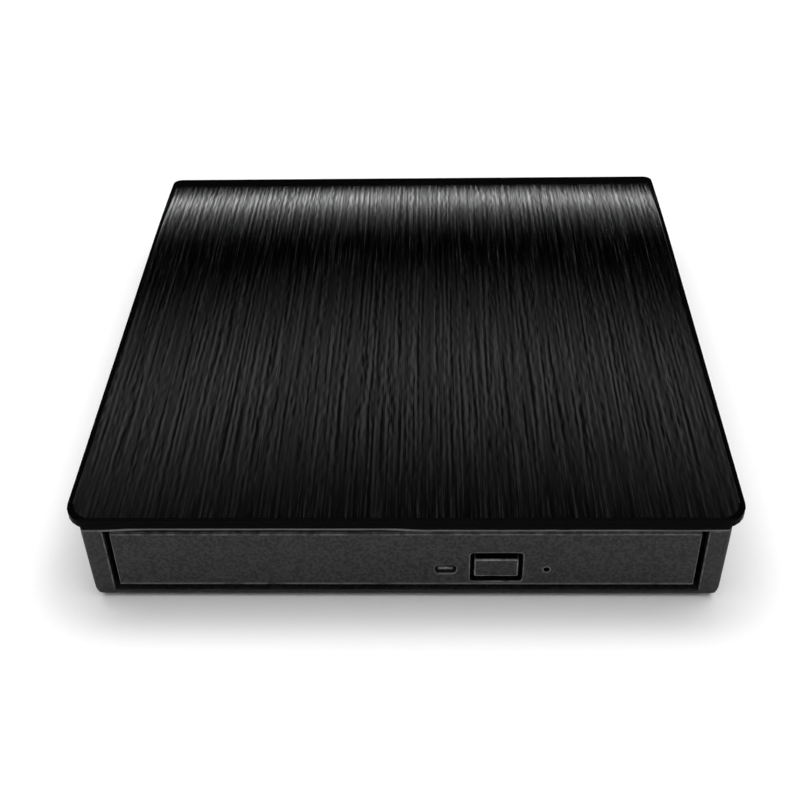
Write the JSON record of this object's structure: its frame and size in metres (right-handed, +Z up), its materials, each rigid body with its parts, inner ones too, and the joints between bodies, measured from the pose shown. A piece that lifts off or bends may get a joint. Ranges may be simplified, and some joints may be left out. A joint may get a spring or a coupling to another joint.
{
  "type": "external disc drive",
  "caption": "Low external disc drive: brushed overhanging lid on a tapered base, a sliding tray with an eject button, spindle and pickup, and a rear port.",
  "frame": {"origin": "on the table under the middle of the case", "axes": "+Z up, +Y to the rear, so the tray comes out towards -Y"},
  "size_m": [0.145, 0.15, 0.0236],
  "materials": {
    "case_plastic": "fine-grained satin black",
    "brushed_panel": "black with fine brushed streaks from front to rear",
    "bezel_plastic": "fine-grained matte black",
    "rubber": "matte",
    "sheet_steel": "galvanised sheet",
    "bright_steel": "bright plated",
    "sled_metal": "cast, fine-blasted",
    "tray_plastic": "fine-grained black",
    "board": "lacquered circuit board",
    "chip_plastic": "moulded black",
    "light_plastic": "milky",
    "lens_glass": "coated lens",
    "flex": "flat cable film",
    "coil": "lacquered copper winding"
  },
  "bodies": {
    "enclosure": {"base_shell": "case_plastic", "lid_shell": "case_plastic", "lid_panel": "brushed_panel", "rubber_feet": "rubber", "case_screws": "bright_steel", "drive_screws": "bright_steel", "drive_pan": "sheet_steel", "drive_cover": "sheet_steel", "cover_screws": "bright_steel", "rail_guide_left": "tray_plastic", "rail_guide_right": "tray_plastic", "flex_cable": "flex", "flex_socket": "chip_plastic", "latch_post": "bright_steel", "connector_board": "board", "drive_socket": "chip_plastic", "bridge_board": "board", "bridge_chips": "chip_plastic", "bridge_screws": "bright_steel", "bridge_plug": "chip_plastic", "usb_receptacle": "bright_steel"},
    "rail_l": {"rail_left": "bright_steel"},
    "rail_r": {"rail_right": "bright_steel"},
    "tray": {"disc_tray": "tray_plastic", "tray_bezel": "bezel_plastic", "light_pipe": "light_plastic", "tray_plate": "sheet_steel", "tray_screws": "bright_steel", "traverse_frame": "sheet_steel", "dampers": "rubber", "damper_screws": "bright_steel", "spindle_base": "sheet_steel", "guide_rods": "bright_steel", "feed_motor": "sheet_steel", "deck_cover": "sheet_steel", "main_board": "board", "board_chips": "chip_plastic", "eject_switch": "chip_plastic", "latch_solenoid": "coil", "eject_spring": "bright_steel"},
    "button": {"eject_button": "bezel_plastic"},
    "spindle": {"spindle_rotor": "bright_steel", "turntable_pad": "rubber", "clamp_balls": "bright_steel"},
    "sled": {"pickup_sled": "sled_metal", "lens_magnets": "chip_plastic"},
    "lens": {"lens_holder": "chip_plastic", "objective_lens": "lens_glass"},
    "feed_screw": {"lead_screw": "bright_steel"},
    "latch": {"latch_lever": "bright_steel"},
    "plunger": {"eject_plunger": "light_plastic"}
  },
  "joints": [
    {"name": "tray_slide", "type": "slide", "parent": "enclosure", "child": "tray", "axis": [0, -1, 0], "range_m": [0, 0.127]},
    {"name": "rail_left_slide", "type": "slide", "parent": "enclosure", "child": "rail_l", "axis": [0, -1, 0], "range_m": [0, 0.0635]},
    {"name": "rail_right_slide", "type": "slide", "parent": "enclosure", "child": "rail_r", "axis": [0, -1, 0], "range_m": [0, 0.0635]},
    {"name": "eject_button_press", "type": "slide", "parent": "tray", "child": "button", "axis": [0, 1, 0], "range_m": [0, 0.0006], "stiffness_N_per_m": 1200},
    {"name": "spindle_spin", "type": "hinge", "parent": "tray", "child": "spindle", "pos_m": [0, -0.0077, 0], "axis": [0, 0, 1], "continuous": true},
    {"name": "sled_feed", "type": "slide", "parent": "tray", "child": "sled", "axis": [0.7071, -0.7071, 0], "range_m": [0, 0.034]},
    {"name": "lens_focus", "type": "slide", "parent": "sled", "child": "lens", "axis": [0, 0, 1], "range_m": [-0.0004, 0.0004], "stiffness_N_per_m": 60},
    {"name": "lead_screw_turn", "type": "hinge", "parent": "tray", "child": "feed_screw", "pos_m": [0.03451, -0.01562, 0.008], "axis": [0.7071, -0.7071, 0], "range_deg": [0, 3060.5]},
    {"name": "latch_swing", "type": "hinge", "parent": "tray", "child": "latch", "pos_m": [-0.037, 0.034, 0.0072], "axis": [0, 0, 1], "range_deg": [0, 22], "stiffness_Nm_per_rad": 0.004},
    {"name": "plunger_slide", "type": "slide", "parent": "tray", "child": "plunger", "axis": [0, 1, 0], "range_m": [0, 0.008]}
  ],
  "couplings": [
    {"joint": "rail_left_slide", "follows": "tray_slide", "ratio": 0.5},
    {"joint": "rail_right_slide", "follows": "tray_slide", "ratio": 0.5},
    {"joint": "plunger_slide", "follows": "tray_slide", "ratio": 0.0629},
    {"joint": "lead_screw_turn", "follows": "sled_feed", "rad_per_m": 1570.8}
  ]
}
